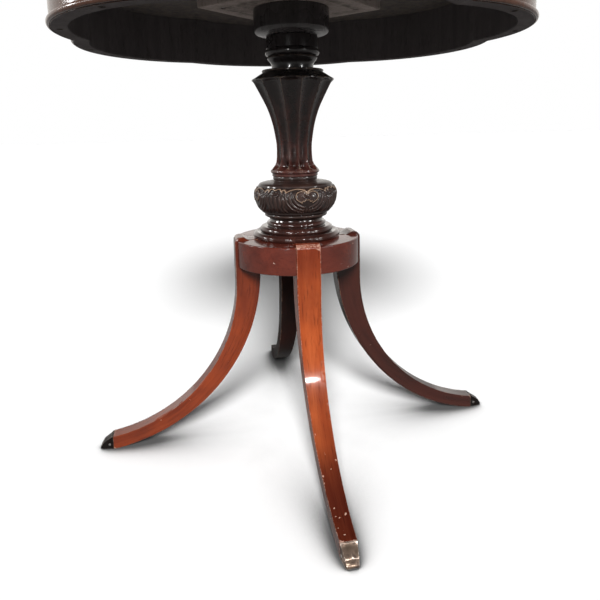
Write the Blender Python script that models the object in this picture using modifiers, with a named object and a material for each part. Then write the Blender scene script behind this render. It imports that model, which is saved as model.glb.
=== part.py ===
"""Six-lobed drum table on a turned and carved pedestal with four sabre legs.

Metres, +Z up. The origin is on the floor, on the axis of the column. The front leg points to -Y.
"""

import math

import bmesh
import bpy
from mathutils import Matrix, Vector

# Heights above the floor
TOP_Z = 0.737
TOP_THICKNESS = 0.022
UNDERSIDE_Z = TOP_Z - TOP_THICKNESS
APRON_Z = 0.635
BEAD_HEIGHT = 0.009
PLATE_Z = 0.682
COLLAR_Z = 0.6415
NECK_Z = 0.5915
VASE_Z = 0.4285
BULB_Z = 0.3605
PLATFORM_Z = 0.330
PLATFORM_THICKNESS = 0.042

# Plan of the top and the drum: six round lobes
LOBES = 6
LOBE_CENTRE = 0.1244
LOBE_RADIUS = 0.2255
LOBE_STEPS = 8
DRUM_TURN = math.radians(-1.5)
TOP_OVERHANG = 0.012
BEAD_PROUD = 0.004
APRON_WALL = 0.022

# Mounting plate, column and platform
PLATE_SIDE = 0.200
PLATE_SCREW_REACH = 0.102
COLLAR_RADIUS = 0.058
PLATFORM_RADIUS = 0.0995
BORE_RADIUS = 0.0058
SPIGOT_RADIUS = 0.015
SPIGOT_HEIGHT = 0.010
FLUTES = 12
FLUTE_STEPS = 5
FLUTE_DEPTH = 0.11
FLUTE_TURN = math.radians(3.0)
TURN_STEPS = 28

# Legs: outer and inner edges are arcs in the upright plane through the axis
LEG_OUT = 0.1015
LEG_IN = 0.063
LEG_OUT_RADIUS = 0.2445
LEG_OUT_Z = 0.262
LEG_IN_RADIUS = 0.289
LEG_IN_Z = 0.285
LEG_WIDTH_TOP = 0.0355
LEG_WIDTH_TOE = 0.0216
LEG_STEPS = 14
KNUCKLE_HEIGHT = 0.005
KNUCKLE_ROUND = 0.009
KNUCKLE_IN = 0.079
TOE_JOINT = 0.3085
TOE_TIP = 0.329
TOE_TIP_WIDTH = 0.0165
TONGUE_LENGTH = 0.012
TONGUE_SIZE = (TONGUE_LENGTH + 0.006, 0.0115, 0.0085)
TONGUE_PLACE = Matrix.Translation((TOE_JOINT + (TONGUE_LENGTH - 0.006) / 2, 0.0, 0.0075))
PIN_RADIUS = 0.0016
PIN_REACH = 0.3145
PIN_Z = 0.0075

# Fastenings
GAP = 0.0003
OVERCUT = 0.005
DOWEL_RADIUS = 0.006
DOWEL_LENGTH = 0.040
DOWEL_Z = 0.309
ROD_RADIUS = 0.0046
ROD_POCKET = 0.011
WASHER_RADIUS = 0.0125
WASHER_THICKNESS = 0.002
NUT_RADIUS = 0.0092
NUT_HEIGHT = 0.008
COUNTERBORE_RADIUS = 0.0145
SEAT_DEPTH = 0.014
SCREW_HEAD = 0.0042
SCREW_HEAD_DEPTH = 0.003
SCREW_SHANK = 0.0021
SCREW_POINT = 0.004
SCREW_TIP_Z = TOP_Z - 0.010
PILOT_END_Z = TOP_Z - 0.008
APRON_SHAFT = 0.052
APRON_SCREW_ANGLE = math.radians(21.7)

LEG_ANGLES = {"front": -90.0, "right": 0.0, "back": 90.0, "left": 180.0}


def clear_scene():
    for obj in list(bpy.data.objects):
        bpy.data.objects.remove(obj, do_unlink=True)


def new_collection(name):
    made = bpy.data.collections.new(name)
    bpy.context.scene.collection.children.link(made)
    return made


def make_material(name, colour, roughness, metallic=0.0):
    material = bpy.data.materials.new(name)
    material.use_nodes = True
    shader = material.node_tree.nodes["Principled BSDF"]
    shader.inputs["Base Color"].default_value = (*colour, 1.0)
    shader.inputs["Roughness"].default_value = roughness
    shader.inputs["Metallic"].default_value = metallic
    material.diffuse_color = (*colour, 1.0)
    return material


def add_mesh(name, mesh, material, collection):
    obj = bpy.data.objects.new(name, mesh)
    collection.objects.link(obj)
    if material:
        mesh.materials.clear()
        mesh.materials.append(material)
    return obj


def evaluated_mesh(obj):
    bpy.context.view_layer.update()
    graph = bpy.context.evaluated_depsgraph_get()
    return bpy.data.meshes.new_from_object(obj.evaluated_get(graph), depsgraph=graph)


def weld(mesh):
    work = bmesh.new()
    work.from_mesh(mesh)
    bmesh.ops.remove_doubles(work, verts=work.verts, dist=0.00002)
    bmesh.ops.recalc_face_normals(work, faces=work.faces)
    work.to_mesh(mesh)
    work.free()


def baked(obj, material, collection):
    """Replaces an object by a plain mesh of its evaluated shape."""
    mesh = evaluated_mesh(obj)
    weld(mesh)
    name = obj.name
    place = obj.matrix_world.copy()
    bpy.data.objects.remove(obj, do_unlink=True)
    made = add_mesh(name, mesh, material, collection)
    made.matrix_world = place
    return made


def turned(name, profile, material, collection, steps=TURN_STEPS):
    """Turns a closed (radius, height) profile that runs down the outside and back up the bore."""
    mesh = bpy.data.meshes.new(name)
    corners = [(r, 0.0, z) for r, z in profile]
    edges = [(i, (i + 1) % len(corners)) for i in range(len(corners))]
    mesh.from_pydata(corners, edges, [])
    obj = add_mesh(name, mesh, material, collection)
    screw = obj.modifiers.new("Turn", "SCREW")
    screw.axis = "Z"
    screw.angle = math.tau
    screw.steps = steps
    screw.render_steps = steps
    screw.use_merge_vertices = True
    screw.merge_threshold = 0.0001
    screw.use_smooth_shade = True
    made = baked(obj, material, collection)
    made.data.set_sharp_from_angle(angle=math.radians(35.0))
    return made


def extruded(name, outline, thickness, material, collection, place=Matrix()):
    """Gives a flat closed outline its thickness, centred on its own plane."""
    curve = bpy.data.curves.new(name, "CURVE")
    curve.dimensions = "2D"
    curve.fill_mode = "BOTH"
    curve.extrude = thickness / 2
    spline = curve.splines.new("POLY")
    spline.points.add(len(outline) - 1)
    for point, (x, y) in zip(spline.points, outline):
        point.co = (x, y, 0.0, 1.0)
    spline.use_cyclic_u = True
    obj = bpy.data.objects.new(name, curve)
    collection.objects.link(obj)
    obj.matrix_world = place
    return baked(obj, material, collection)


def cylinder(name, radius, low, high, material, collection, sides=12, at=(0.0, 0.0)):
    work = bmesh.new()
    middle = Matrix.Translation((at[0], at[1], (low + high) / 2))
    bmesh.ops.create_cone(
        work, cap_ends=True, segments=sides, radius1=radius, radius2=radius, depth=high - low, matrix=middle
    )
    mesh = bpy.data.meshes.new(name)
    work.to_mesh(mesh)
    work.free()
    return add_mesh(name, mesh, material, collection)


def box(name, size, place, material, collection):
    work = bmesh.new()
    bmesh.ops.create_cube(work, size=1.0, matrix=place @ Matrix.Diagonal((*size, 1.0)))
    mesh = bpy.data.meshes.new(name)
    work.to_mesh(mesh)
    work.free()
    return add_mesh(name, mesh, material, collection)


def joined(name, objects, material, collection):
    """Puts several separate solids in one object."""
    work = bmesh.new()
    for obj in objects:
        mesh = obj.data.copy()
        mesh.transform(obj.matrix_world)
        work.from_mesh(mesh)
        bpy.data.meshes.remove(mesh)
    mesh = bpy.data.meshes.new(name)
    work.to_mesh(mesh)
    work.free()
    for obj in objects:
        bpy.data.objects.remove(obj, do_unlink=True)
    return add_mesh(name, mesh, material, collection)


def combine(obj, other, operation):
    other.hide_render = True
    other.display_type = "WIRE"
    modifier = obj.modifiers.new(operation.title(), "BOOLEAN")
    modifier.operation = operation
    modifier.solver = "EXACT"
    modifier.object = other


def arc(centre, radius, start, end, steps):
    """Points on an arc, from start to end in degrees, both ends included."""
    points = []
    for i in range(steps + 1):
        angle = math.radians(start + (end - start) * i / steps)
        points.append((centre[0] + radius * math.cos(angle), centre[1] + radius * math.sin(angle)))
    return points


def eased(points, steps):
    """A Catmull-Rom curve through the points, with a number of steps between each two."""
    padded = [points[0], *points, points[-1]]
    curve = []
    for i in range(len(points) - 1):
        a, b, c, d = (Vector(p) for p in padded[i : i + 4])
        for k in range(steps):
            t = k / steps
            point = 0.5 * (2 * b + (c - a) * t + (2 * a - 5 * b + 4 * c - d) * t**2 + (3 * b - a - 3 * c + d) * t**3)
            curve.append((point.x, point.y))
    curve.append(tuple(points[-1]))
    return curve


def cusp_half_angle(radius):
    """Half the angle that a lobe of this radius spans, seen from its own centre."""
    half = math.pi / LOBES
    return half + math.asin(LOBE_CENTRE * math.sin(half) / radius)


def lobe(index, inset, trim=0.0, steps=LOBE_STEPS):
    """Plan points of one lobe, inset from the bead's crest, with its ends trimmed by a distance."""
    radius = LOBE_RADIUS - inset
    reach = cusp_half_angle(radius) - trim / radius
    middle = math.tau * (index + 0.5) / LOBES + DRUM_TURN
    centre = (LOBE_CENTRE * math.cos(middle), LOBE_CENTRE * math.sin(middle))
    start = math.degrees(middle - reach)
    end = math.degrees(middle + reach)
    return arc(centre, radius, start, end, steps)


def lobed_outline(inset, steps=LOBE_STEPS):
    """The closed six-lobed outline, with one point at each cusp."""
    points = []
    for index in range(LOBES):
        points += lobe(index, inset, steps=steps)[:-1]
    return points


def stacked(name, rings, material, collection):
    """Skins closed rings of equal length, each a list of plan points at a height, and caps both ends."""
    work = bmesh.new()
    rows = [[work.verts.new((x, y, z)) for x, y in outline] for outline, z in rings]
    count = len(rows[0])
    for upper, lower in zip(rows, rows[1:]):
        for i in range(count):
            j = (i + 1) % count
            work.faces.new((upper[i], lower[i], lower[j], upper[j]))
    work.faces.new(rows[0])
    work.faces.new(list(reversed(rows[-1])))
    bmesh.ops.recalc_face_normals(work, faces=work.faces)
    mesh = bpy.data.meshes.new(name)
    work.to_mesh(mesh)
    work.free()
    return add_mesh(name, mesh, material, collection)


def apron_screw_places():
    """Two screws in the bottom rim of each lobe."""
    places = []
    radius = LOBE_RADIUS - BEAD_PROUD - APRON_WALL / 2
    for index in range(LOBES):
        middle = math.tau * (index + 0.5) / LOBES + DRUM_TURN
        for side in (-1, 1):
            angle = middle + side * APRON_SCREW_ANGLE
            x = LOBE_CENTRE * math.cos(middle) + radius * math.cos(angle)
            y = LOBE_CENTRE * math.sin(middle) + radius * math.sin(angle)
            places.append((x, y))
    return places


def plate_screw_places():
    bearings = [math.tau * i / 4 + DRUM_TURN for i in range(4)]
    return [(PLATE_SCREW_REACH * math.cos(a), PLATE_SCREW_REACH * math.sin(a)) for a in bearings]


def wood_screw(name, at, head_low, tip, material, collection):
    """A countersunk screw pointing up, as one turned solid."""
    x, y = at
    neck = head_low + SCREW_HEAD_DEPTH
    work = bmesh.new()
    rings = ((SCREW_HEAD, head_low), (SCREW_SHANK, neck), (SCREW_SHANK, tip - SCREW_POINT), (SCREW_SHANK / 3, tip))
    rows = []
    for radius, z in rings:
        circle = [math.tau * k / 8 for k in range(8)]
        rows.append([work.verts.new((x + radius * math.cos(a), y + radius * math.sin(a), z)) for a in circle])
    for lower, upper in zip(rows, rows[1:]):
        for k in range(8):
            work.faces.new((lower[k], lower[(k + 1) % 8], upper[(k + 1) % 8], upper[k]))
    work.faces.new(list(reversed(rows[0])))
    work.faces.new(rows[-1])
    mesh = bpy.data.meshes.new(name)
    work.to_mesh(mesh)
    work.free()
    return add_mesh(name, mesh, material, collection)


def make_top(wood, parts, tools):
    """The six-lobed top board, with a thumbnail moulding and blind pilot holes underneath."""
    edge = -BEAD_PROUD + TOP_OVERHANG
    rings = (
        (lobed_outline(-edge + 0.004), TOP_Z),
        (lobed_outline(-edge + 0.0012), TOP_Z - 0.0012),
        (lobed_outline(-edge), TOP_Z - 0.005),
        (lobed_outline(-edge), TOP_Z - 0.010),
        (lobed_outline(-edge + 0.003), TOP_Z - 0.0145),
        (lobed_outline(-edge + 0.006), UNDERSIDE_Z),
    )
    top = stacked("top_board", rings, wood, parts)
    holes = []
    for at in apron_screw_places() + plate_screw_places():
        holes.append(cylinder("hole", SCREW_SHANK + GAP, UNDERSIDE_Z - OVERCUT, PILOT_END_Z, None, tools, 8, at))
    holes.append(cylinder("hole", ROD_POCKET, UNDERSIDE_Z - OVERCUT, UNDERSIDE_Z + 0.006, None, tools))
    combine(top, joined("top_pilot_holes", holes, None, tools), "DIFFERENCE")
    return top


def make_apron(wood, parts, tools):
    """Six bent lobes that meet in mitres at the cusps, each with its bead glued on the lower edge."""
    screws = apron_screw_places()
    for index in range(LOBES):
        outer = lobe(index, BEAD_PROUD, trim=GAP)
        inner = lobe(index, BEAD_PROUD + APRON_WALL, trim=GAP)
        outline = outer + list(reversed(inner))
        rings = ((outline, UNDERSIDE_Z - GAP), (outline, APRON_Z))
        segment = stacked(f"apron_segment_{index + 1}", rings, wood, parts)
        holes = []
        for at in screws[2 * index : 2 * index + 2]:
            seat = APRON_Z + APRON_SHAFT
            holes.append(cylinder("hole", SCREW_HEAD + GAP, APRON_Z - OVERCUT, seat, None, tools, 8, at))
            holes.append(cylinder("hole", SCREW_SHANK + GAP, seat - 0.002, UNDERSIDE_Z + OVERCUT, None, tools, 8, at))
        shafts = [holes[0], holes[2]]
        pilots = [holes[1], holes[3]]
        combine(segment, joined(f"apron_shafts_{index + 1}", shafts, None, tools), "DIFFERENCE")
        combine(segment, joined(f"apron_pilots_{index + 1}", pilots, None, tools), "DIFFERENCE")


def make_beads(wood, parts):
    """A half-round bead on the lower outside edge of each lobe."""
    for index in range(LOBES):
        rows = []
        face = BEAD_PROUD - GAP
        half = BEAD_HEIGHT / 2
        section = ((face, half), (face * 0.35, half * 0.8), (0.0, 0.0), (face * 0.35, -half * 0.8), (face, -half))
        work = bmesh.new()
        for inset, rise in section:
            points = lobe(index, inset, trim=GAP)
            rows.append([work.verts.new((x, y, APRON_Z + half + rise)) for x, y in points])
        count = len(rows)
        for i in range(count):
            first = rows[i]
            second = rows[(i + 1) % count]
            for k in range(len(first) - 1):
                work.faces.new((first[k], first[k + 1], second[k + 1], second[k]))
        work.faces.new([row[0] for row in rows])
        work.faces.new([row[-1] for row in reversed(rows)])
        bmesh.ops.recalc_face_normals(work, faces=work.faces)
        mesh = bpy.data.meshes.new("bead")
        work.to_mesh(mesh)
        work.free()
        add_mesh(f"apron_bead_{index + 1}", mesh, wood, parts)


def make_screws(steel, parts):
    for i, at in enumerate(apron_screw_places()):
        wood_screw(f"apron_screw_{i + 1}", at, APRON_Z + APRON_SHAFT - 0.0035, SCREW_TIP_Z, steel, parts)
    for i, at in enumerate(plate_screw_places()):
        wood_screw(f"plate_screw_{i + 1}", at, PLATE_Z + 0.001, SCREW_TIP_Z, steel, parts)


def make_plate(wood, parts, tools):
    """The square block under the top, its corners over the legs."""
    height = UNDERSIDE_Z - GAP - PLATE_Z
    place = Matrix.Translation((0.0, 0.0, PLATE_Z + height / 2)) @ Matrix.Rotation(math.pi / 4 + DRUM_TURN, 4, "Z")
    plate = box("mounting_plate", (PLATE_SIDE, PLATE_SIDE, height), place, wood, parts)
    heads = []
    shanks = [cylinder("hole", BORE_RADIUS, PLATE_Z - 0.005, UNDERSIDE_Z, None, tools, 12)]
    for at in plate_screw_places():
        heads.append(cylinder("hole", SCREW_HEAD + GAP, PLATE_Z - 0.005, PLATE_Z + 0.0045, None, tools, 8, at))
        shanks.append(cylinder("hole", SCREW_SHANK + GAP, PLATE_Z + 0.002, UNDERSIDE_Z + 0.005, None, tools, 8, at))
    heads.append(cylinder("hole", COUNTERBORE_RADIUS, UNDERSIDE_Z - SEAT_DEPTH, UNDERSIDE_Z + 0.005, None, tools, 16))
    combine(plate, joined("plate_heads", heads, None, tools), "DIFFERENCE")
    combine(plate, joined("plate_shanks", shanks, None, tools), "DIFFERENCE")


def bored(outside, low, high, socket=True, spigot=True):
    """Closes an outside profile with the bore, a socket below and a spigot above."""
    profile = []
    if spigot:
        profile += [(SPIGOT_RADIUS - GAP, high + SPIGOT_HEIGHT - 0.001), (SPIGOT_RADIUS - GAP, high)]
    profile += outside
    if socket:
        profile += [(SPIGOT_RADIUS, low), (SPIGOT_RADIUS, low + SPIGOT_HEIGHT)]
        profile += [(BORE_RADIUS, low + SPIGOT_HEIGHT)]
    else:
        profile += [(BORE_RADIUS, low)]
    profile += [(BORE_RADIUS, high + SPIGOT_HEIGHT - 0.001 if spigot else high)]
    return profile


def make_column(wood, carved, parts):
    """Collar, neck, fluted vase, carved bulb and base moulding, stacked on spigots."""
    collar = [(COLLAR_RADIUS, PLATE_Z - GAP), (COLLAR_RADIUS, 0.6505)]
    collar += eased([(0.0572, 0.6475), (0.0535, 0.6443), (0.0470, 0.6425), (0.0415, COLLAR_Z)], 1)
    turned("collar_block", bored(collar, COLLAR_Z, PLATE_Z - GAP, spigot=False), wood, parts)

    top = COLLAR_Z - GAP
    neck = [(0.0397, top), (0.0397, 0.6225)]
    neck += arc((0.0362, 0.6174), 0.0059, 54.0, -74.0, 6)
    neck += [(0.0384, 0.6108), (0.0384, 0.6078)]
    neck += eased([(0.0366, 0.6058), (0.0340, 0.6025), (0.0323, 0.5990), (0.0322, NECK_Z)], 1)
    turned("neck_turning", bored(neck, NECK_Z, top), wood, parts)

    top = NECK_Z - GAP
    vase = [(0.0400, top), (0.0478, 0.5908), (0.0480, 0.5880), (0.0468, 0.5873)]
    vase += eased([(0.0510, 0.5848), (0.0585, 0.5800), (0.0634, 0.5772)], 1)
    vase += [(0.0642, 0.5758)]
    vase += eased([(0.0632, 0.5738), (0.0508, 0.5510), (0.0416, 0.5320), (0.0342, 0.5090), (0.0298, 0.4850)], 2)
    vase += eased([(0.0287, 0.4720), (0.0293, 0.4560), (0.0318, 0.4465), (0.0372, 0.4385)], 1)
    vase += [(0.0389, 0.4360), (0.0385, 0.4325), (0.0362, VASE_Z)]
    body = turned("vase_turning", bored(vase, VASE_Z, top), carved, parts, FLUTES * FLUTE_STEPS)
    cut_flutes(body)

    top = VASE_Z - GAP
    bulb = [(0.0350, top), (0.0350, 0.4225), (0.0375, 0.4205), (0.0500, 0.4190), (0.0580, 0.4160), (0.0598, 0.4130)]
    bulb += eased([(0.0630, 0.4105), (0.0660, 0.4020), (0.0658, 0.3920), (0.0615, 0.3800), (0.0545, 0.3720)], 2)
    bulb += [(0.0500, 0.3690), (0.0490, 0.3650), (0.0440, 0.3630), (0.0425, BULB_Z)]
    turned("bulb_turning", bored(bulb, BULB_Z, top), carved, parts, 36)

    top = BULB_Z - GAP
    low = PLATFORM_Z + GAP
    base = [(0.0415, top), (0.0430, 0.3560)]
    base += arc((0.0440, 0.3530), 0.0035, 75.0, -55.0, 3)
    base += [(0.0475, 0.3485)]
    base += arc((0.0535, 0.3437), 0.0056, 90.0, -50.0, 3)
    base += arc((0.0622, 0.3365), 0.0056, 110.0, 20.0, 3)
    base += arc((0.0640, low + 0.0045), 0.0060, 20.0, -48.0, 2)
    turned("base_moulding", bored(base, low, top), wood, parts, 36)


def cut_flutes(vase):
    """Hollows the body of the vase between sharp arrises, from just under the rim to just above the foot."""
    high = 0.5735
    low = 0.4370
    fade_high = 0.008
    fade_low = 0.007
    for vertex in vase.data.vertices:
        x, y, z = vertex.co
        radius = math.hypot(x, y)
        if radius < SPIGOT_RADIUS + 0.001 or z > high or z < low:
            continue
        fade = min(1.0, (high - z) / fade_high, (z - low) / fade_low)
        turn = (math.atan2(y, x) - FLUTE_TURN) * FLUTES / math.tau
        hollow = 1.0 - (2.0 * abs(turn - math.floor(turn) - 0.5)) ** 2
        scale = 1.0 - FLUTE_DEPTH * fade * hollow
        vertex.co.x = x * scale
        vertex.co.y = y * scale


def leg_outline():
    """The leg in its own upright plane as (reach, height), with the knuckle on top, without the toe cap."""
    out_centre = (LEG_OUT + LEG_OUT_RADIUS, LEG_OUT_Z)
    in_centre = (LEG_IN + LEG_IN_RADIUS, LEG_IN_Z)
    out_end = 180.0 + math.degrees(math.acos((out_centre[0] - TOE_JOINT) / LEG_OUT_RADIUS))
    floor_angle = 180.0 + math.degrees(math.asin(LEG_IN_Z / LEG_IN_RADIUS))
    outer = arc(out_centre, LEG_OUT_RADIUS, 180.0, out_end, LEG_STEPS)
    inner = arc(in_centre, LEG_IN_RADIUS, 180.0, floor_angle, LEG_STEPS)
    knuckle_z = PLATFORM_Z + KNUCKLE_HEIGHT
    knuckle = [(LEG_IN, PLATFORM_Z), (KNUCKLE_IN, PLATFORM_Z), (KNUCKLE_IN + 0.005, PLATFORM_Z + 0.002)]
    knuckle += [(KNUCKLE_IN + 0.010, knuckle_z - 0.0008)]
    knuckle += arc((LEG_OUT - KNUCKLE_ROUND, knuckle_z - KNUCKLE_ROUND), KNUCKLE_ROUND, 90.0, 0.0, 4)
    toe = [(TOE_JOINT, 0.0)]
    return knuckle + outer + toe + list(reversed(inner))


def leg_width(reach, height):
    """Full width of the leg: it narrows evenly along the sweep to the toe."""
    bend = math.atan2(max(0.0, LEG_OUT_Z - height), max(0.0001, LEG_OUT + LEG_OUT_RADIUS - reach))
    share = min(1.0, bend / (math.pi / 2 * 0.9))
    return LEG_WIDTH_TOP + (LEG_WIDTH_TOE - LEG_WIDTH_TOP) * share


def taper(mesh):
    for vertex in mesh.vertices:
        wanted = leg_width(vertex.co.x, vertex.co.z)
        vertex.co.y = math.copysign(wanted / 2, vertex.co.y)


def place_in_mesh(obj, angle):
    obj.data.transform(Matrix.Rotation(math.radians(angle), 4, "Z"))


def dowel(name, angle, radius, start, length, material, collection):
    """A dowel that lies along a leg's bearing, from a reach of start outwards."""
    made = cylinder(name, radius, 0.0, length, material, collection)
    made.data.transform(Matrix.Rotation(math.pi / 2, 4, "Y"))
    made.data.transform(Matrix.Translation((start, 0.0, DOWEL_Z)))
    place_in_mesh(made, angle)
    return made


def make_legs(wood, brass, steel, beech, parts, tools):
    """Four legs housed in the platform on dowels, each with a pinned toe cap on a tongue."""
    half = DOWEL_LENGTH / 2
    for side, angle in LEG_ANGLES.items():
        leg = extruded(f"leg_{side}", leg_outline(), 1.0, wood, parts, Matrix.Rotation(math.pi / 2, 4, "X"))
        leg.data.transform(leg.matrix_world)
        leg.matrix_world = Matrix()
        taper(leg.data)
        place_in_mesh(leg, angle)
        tongue = box(f"leg_tongue_{side}", TONGUE_SIZE, TONGUE_PLACE, None, tools)
        place_in_mesh(tongue, angle)
        combine(leg, tongue, "UNION")
        hole = dowel(f"leg_hole_{side}", angle, DOWEL_RADIUS + GAP, LEG_IN - 0.005, half + 0.006, None, tools)
        combine(leg, hole, "DIFFERENCE")
        dowel(f"leg_dowel_{side}", angle, DOWEL_RADIUS, LEG_IN - half, DOWEL_LENGTH, beech, parts)
        cap = make_toe_cap(side, angle, brass, parts, tools)
        pin_hole = across_toe(f"pin_hole_{side}", PIN_RADIUS + GAP, 0.05, angle, None, tools)
        combine(cap, pin_hole, "DIFFERENCE")
        combine(leg, pin_hole, "DIFFERENCE")
        across_toe(f"toe_cap_pin_{side}", PIN_RADIUS, LEG_WIDTH_TOE, angle, steel, parts)


def make_toe_cap(side, angle, brass, parts, tools):
    """A cast cap over the toe, its back open for the leg's tongue."""
    start = TOE_JOINT + GAP
    out_centre = (LEG_OUT + LEG_OUT_RADIUS, LEG_OUT_Z)
    crown = out_centre[1] - math.sqrt(LEG_OUT_RADIUS**2 - (out_centre[0] - start) ** 2)
    outline = [(start, 0.0), (start, crown), (start + 0.0045, crown - 0.0008), (TOE_TIP - 0.0045, 0.0118)]
    outline += arc((TOE_TIP - 0.0055, 0.0060), 0.0055, 62.0, -38.0, 4)
    outline += [(TOE_TIP - 0.0030, 0.0)]
    cap = extruded(f"toe_cap_{side}", outline, LEG_WIDTH_TOE, brass, parts, Matrix.Rotation(math.pi / 2, 4, "X"))
    cap.data.transform(cap.matrix_world)
    cap.matrix_world = Matrix()
    for vertex in cap.data.vertices:
        share = (vertex.co.x - start) / (TOE_TIP - start)
        vertex.co.y *= 1.0 - (1.0 - TOE_TIP_WIDTH / LEG_WIDTH_TOE) * share
    place_in_mesh(cap, angle)
    size = [side + 2 * GAP for side in TONGUE_SIZE]
    socket = box(f"toe_socket_{side}", size, TONGUE_PLACE, None, tools)
    place_in_mesh(socket, angle)
    combine(cap, socket, "DIFFERENCE")
    return cap


def across_toe(name, radius, length, angle, material, collection):
    """A pin, or its hole, that lies across the toe."""
    made = cylinder(name, radius, -length / 2, length / 2, material, collection, 10)
    made.data.transform(Matrix.Rotation(math.pi / 2, 4, "X"))
    made.data.transform(Matrix.Translation((PIN_REACH, 0.0, PIN_Z)))
    place_in_mesh(made, angle)
    return made


def make_platform(wood, parts, tools):
    """The round platform, slotted for the legs, bored for the rod and the dowels."""
    low = PLATFORM_Z - PLATFORM_THICKNESS
    edge = 0.0015
    outside = [(SPIGOT_RADIUS - GAP, PLATFORM_Z + SPIGOT_HEIGHT - 0.001), (SPIGOT_RADIUS - GAP, PLATFORM_Z)]
    outside += [(PLATFORM_RADIUS - edge, PLATFORM_Z), (PLATFORM_RADIUS, PLATFORM_Z - edge)]
    outside += [(PLATFORM_RADIUS, low + edge), (PLATFORM_RADIUS - edge, low), (COUNTERBORE_RADIUS, low)]
    outside += [(COUNTERBORE_RADIUS, low + SEAT_DEPTH), (BORE_RADIUS, low + SEAT_DEPTH)]
    outside += [(BORE_RADIUS, PLATFORM_Z + SPIGOT_HEIGHT - 0.001)]
    platform = turned("platform", outside, wood, parts, 44)
    slots = []
    holes = []
    for angle in LEG_ANGLES.values():
        reach = LEG_IN - GAP
        size = (0.060, LEG_WIDTH_TOP + 2 * GAP, 0.080)
        place = Matrix.Rotation(math.radians(angle), 4, "Z") @ Matrix.Translation((reach + 0.030, 0.0, low + 0.02))
        slots.append(box("slot", size, place, None, tools))
        start = LEG_IN - DOWEL_LENGTH / 2 - 0.001
        holes.append(dowel("hole", angle, DOWEL_RADIUS + GAP, start, DOWEL_LENGTH / 2 + 0.006, None, tools))
    combine(platform, joined("platform_slots", slots, None, tools), "DIFFERENCE")
    combine(platform, joined("platform_dowel_holes", holes, None, tools), "DIFFERENCE")


def make_washer(name, low, steel, parts):
    high = low + WASHER_THICKNESS
    hole = ROD_RADIUS + 2 * GAP
    turned(name, [(WASHER_RADIUS, high), (WASHER_RADIUS, low), (hole, low), (hole, high)], steel, parts, 24)


def make_nut(name, low, steel, parts, tools):
    nut = cylinder(name, NUT_RADIUS, low, low + NUT_HEIGHT, steel, parts, 6)
    hole = cylinder(f"{name}_hole", ROD_RADIUS + GAP, low - 0.005, low + NUT_HEIGHT + 0.005, None, tools)
    combine(nut, hole, "DIFFERENCE")


def make_rod(steel, parts, tools):
    """The threaded rod that draws the column together, with a washer and a nut at each end."""
    plate_seat = UNDERSIDE_Z - SEAT_DEPTH + GAP
    foot_seat = PLATFORM_Z - PLATFORM_THICKNESS + SEAT_DEPTH - GAP
    stack = WASHER_THICKNESS + GAP
    make_washer("top_washer", plate_seat, steel, parts)
    make_nut("top_nut", plate_seat + stack, steel, parts, tools)
    make_washer("bottom_washer", foot_seat - WASHER_THICKNESS, steel, parts)
    make_nut("bottom_nut", foot_seat - stack - NUT_HEIGHT, steel, parts, tools)
    cylinder("tie_rod", ROD_RADIUS, foot_seat - stack - NUT_HEIGHT - 0.002, UNDERSIDE_Z, steel, parts)


def main():
    clear_scene()
    parts = new_collection("pedestal_drum_table")
    tools = new_collection("cutters")
    tools.hide_render = True
    red_wood = make_material("mahogany_red", (0.20, 0.045, 0.018), 0.22)
    dark_wood = make_material("mahogany_dark", (0.060, 0.016, 0.010), 0.25)
    raw_wood = make_material("raw_wood", (0.070, 0.045, 0.032), 0.75)
    beech = make_material("beech", (0.45, 0.30, 0.16), 0.60)
    brass = make_material("aged_brass", (0.12, 0.085, 0.045), 0.40, 1.0)
    steel = make_material("steel", (0.42, 0.41, 0.40), 0.38, 1.0)
    make_top(red_wood, parts, tools)
    make_apron(red_wood, parts, tools)
    make_beads(red_wood, parts)
    make_screws(steel, parts)
    make_plate(raw_wood, parts, tools)
    make_column(dark_wood, dark_wood, parts)
    make_platform(red_wood, parts, tools)
    make_legs(red_wood, brass, steel, beech, parts, tools)
    make_rod(steel, parts, tools)


main()
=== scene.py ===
import math

import bmesh
import bpy
import numpy as np
from mathutils import Matrix, Vector


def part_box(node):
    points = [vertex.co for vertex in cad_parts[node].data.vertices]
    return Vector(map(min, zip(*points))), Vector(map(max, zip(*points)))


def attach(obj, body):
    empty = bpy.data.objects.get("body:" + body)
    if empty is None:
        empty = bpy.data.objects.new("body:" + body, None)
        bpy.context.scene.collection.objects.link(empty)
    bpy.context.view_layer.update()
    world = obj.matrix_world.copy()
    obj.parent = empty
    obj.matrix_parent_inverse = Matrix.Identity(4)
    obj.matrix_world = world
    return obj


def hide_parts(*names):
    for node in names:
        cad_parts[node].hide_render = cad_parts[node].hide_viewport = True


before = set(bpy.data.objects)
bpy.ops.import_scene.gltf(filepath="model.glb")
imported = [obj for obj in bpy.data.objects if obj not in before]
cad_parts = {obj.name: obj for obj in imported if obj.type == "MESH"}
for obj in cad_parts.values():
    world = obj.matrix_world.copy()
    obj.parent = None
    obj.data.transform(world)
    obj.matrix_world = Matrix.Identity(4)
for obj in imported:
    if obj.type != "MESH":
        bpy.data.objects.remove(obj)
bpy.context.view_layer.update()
print("frame loaded:", len(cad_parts), "nodes")


# Shared steps

def clearPick():
    if bpy.context.mode != "OBJECT":
        bpy.ops.object.mode_set(mode="OBJECT")
    bpy.ops.object.select_all(action="DESELECT")


def pickAll():
    bpy.ops.mesh.select_all(action="SELECT")


def openPiece(name):
    piece = bpy.context.object
    piece.name = name
    piece.data.name = name
    bpy.ops.object.mode_set(mode="EDIT")
    pickAll()
    return piece


def closePiece(piece, shade=35.0):
    pickAll()
    bpy.ops.mesh.remove_doubles(threshold=0.00001)
    bpy.ops.mesh.normals_make_consistent(inside=False)
    bpy.ops.object.mode_set(mode="OBJECT")
    bpy.ops.object.transform_apply()
    bpy.ops.object.shade_smooth_by_angle(angle=math.radians(shade))
    return piece


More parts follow.
